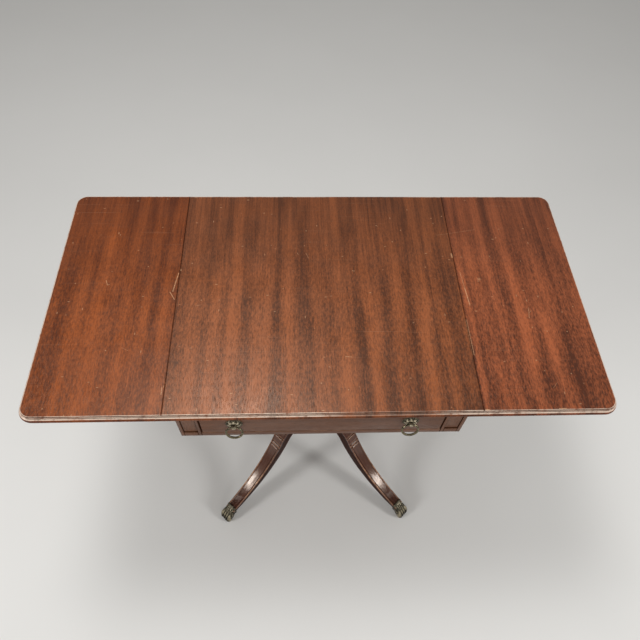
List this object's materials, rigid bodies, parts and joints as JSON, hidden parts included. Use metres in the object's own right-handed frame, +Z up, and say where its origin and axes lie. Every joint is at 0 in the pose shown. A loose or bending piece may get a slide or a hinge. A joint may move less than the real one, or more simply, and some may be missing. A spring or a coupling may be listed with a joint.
{
  "type": "drop-leaf accent table",
  "caption": "Drop-leaf accent table on a turned pedestal with sabre legs, rule-jointed leaves, a drawer with ring pulls and swinging fly brackets.",
  "frame": {"origin": "on the floor under the middle of the top (centre of the bounding box's bottom face)", "axes": "+X to the right along the long side of the open top, -Y to the front with the drawer, +Z up"},
  "size_m": [1.003, 0.508, 0.686],
  "materials": {
    "top_mahogany": "dark red-brown ribbon-stripe mahogany, worn satin lacquer",
    "apron_mahogany": "dark brown stained mahogany, satin lacquer",
    "base_mahogany": "dark red-brown stained mahogany, glossy lacquer",
    "inner_wood": "unfinished secondary wood",
    "aged_brass": "cast brass, aged dark",
    "hinge_brass": "plain brass, dull",
    "steel": "plain steel, dull"
  },
  "bodies": {
    "frame": {"centre_board": "top_mahogany", "hinge_fixed_left_front": "hinge_brass", "hinge_fixed_left_rear": "hinge_brass", "hinge_fixed_right_front": "hinge_brass", "hinge_fixed_right_rear": "hinge_brass", "hinge_pins": "hinge_brass", "hinge_screws_top": "steel", "front_stile_left": "apron_mahogany", "front_stile_right": "apron_mahogany", "front_top_rail": "apron_mahogany", "front_bottom_rail": "apron_mahogany", "back_rail": "apron_mahogany", "side_rail_left": "inner_wood", "side_rail_right": "inner_wood", "side_filler_left": "apron_mahogany", "side_filler_right": "apron_mahogany", "fly_rail_left": "apron_mahogany", "fly_rail_right": "apron_mahogany", "fly_pins": "steel", "drawer_runner_left": "inner_wood", "drawer_runner_right": "inner_wood", "drawer_kickers": "inner_wood", "drawer_stops": "inner_wood", "glue_blocks": "inner_wood", "top_screws": "steel", "pedestal_bearer": "apron_mahogany", "bearer_screws": "steel", "column": "base_mahogany", "leg_brace_plate": "steel", "brace_screws": "steel", "leg_front_left": "base_mahogany", "toe_cap_front_left": "aged_brass", "leg_front_right": "base_mahogany", "toe_cap_front_right": "aged_brass", "leg_rear_left": "base_mahogany", "toe_cap_rear_left": "aged_brass", "leg_rear_right": "base_mahogany", "toe_cap_rear_right": "aged_brass"},
    "leaf_left": {"leaf_board_left": "top_mahogany", "hinge_moving_left_front": "hinge_brass", "hinge_moving_left_rear": "hinge_brass", "hinge_screws_leaf_left": "steel"},
    "leaf_right": {"leaf_board_right": "top_mahogany", "hinge_moving_right_front": "hinge_brass", "hinge_moving_right_rear": "hinge_brass", "hinge_screws_leaf_right": "steel"},
    "drawer": {"drawer_front": "apron_mahogany", "drawer_side_left": "inner_wood", "drawer_side_right": "inner_wood", "drawer_back": "inner_wood", "drawer_bottom": "inner_wood", "pull_rosette_left": "aged_brass", "pull_rosette_right": "aged_brass", "pull_post_left": "aged_brass", "pull_post_right": "aged_brass", "pull_nuts": "aged_brass"},
    "ring_left": {"pull_ring_left": "aged_brass"},
    "fly_left": {"fly_bracket_left": "apron_mahogany"},
    "ring_right": {"pull_ring_right": "aged_brass"},
    "fly_right": {"fly_bracket_right": "apron_mahogany"}
  },
  "joints": [
    {"name": "leaf_right_hinge", "type": "hinge", "parent": "frame", "child": "leaf_right", "pos_m": [0.2665, 0, 0.6695], "axis": [0, 1, 0], "range_deg": [0, 90]},
    {"name": "leaf_left_hinge", "type": "hinge", "parent": "frame", "child": "leaf_left", "pos_m": [-0.2665, 0, 0.6695], "axis": [0, -1, 0], "range_deg": [0, 90]},
    {"name": "drawer_slide", "type": "slide", "parent": "frame", "child": "drawer", "axis": [0, -1, 0], "range_m": [0, 0.3]},
    {"name": "ring_left_swing", "type": "hinge", "parent": "drawer", "child": "ring_left", "pos_m": [-0.155, -0.2438, 0.6205], "axis": [-1, 0, 0], "range_deg": [0, 80]},
    {"name": "ring_right_swing", "type": "hinge", "parent": "drawer", "child": "ring_right", "pos_m": [0.155, -0.2438, 0.6205], "axis": [-1, 0, 0], "range_deg": [0, 80]},
    {"name": "fly_left_swing", "type": "hinge", "parent": "frame", "child": "fly_left", "pos_m": [-0.245, -0.075, 0.62], "axis": [0, 0, -1], "range_deg": [-90, 0]},
    {"name": "fly_right_swing", "type": "hinge", "parent": "frame", "child": "fly_right", "pos_m": [0.245, 0.075, 0.62], "axis": [0, 0, -1], "range_deg": [-90, 0]}
  ]
}
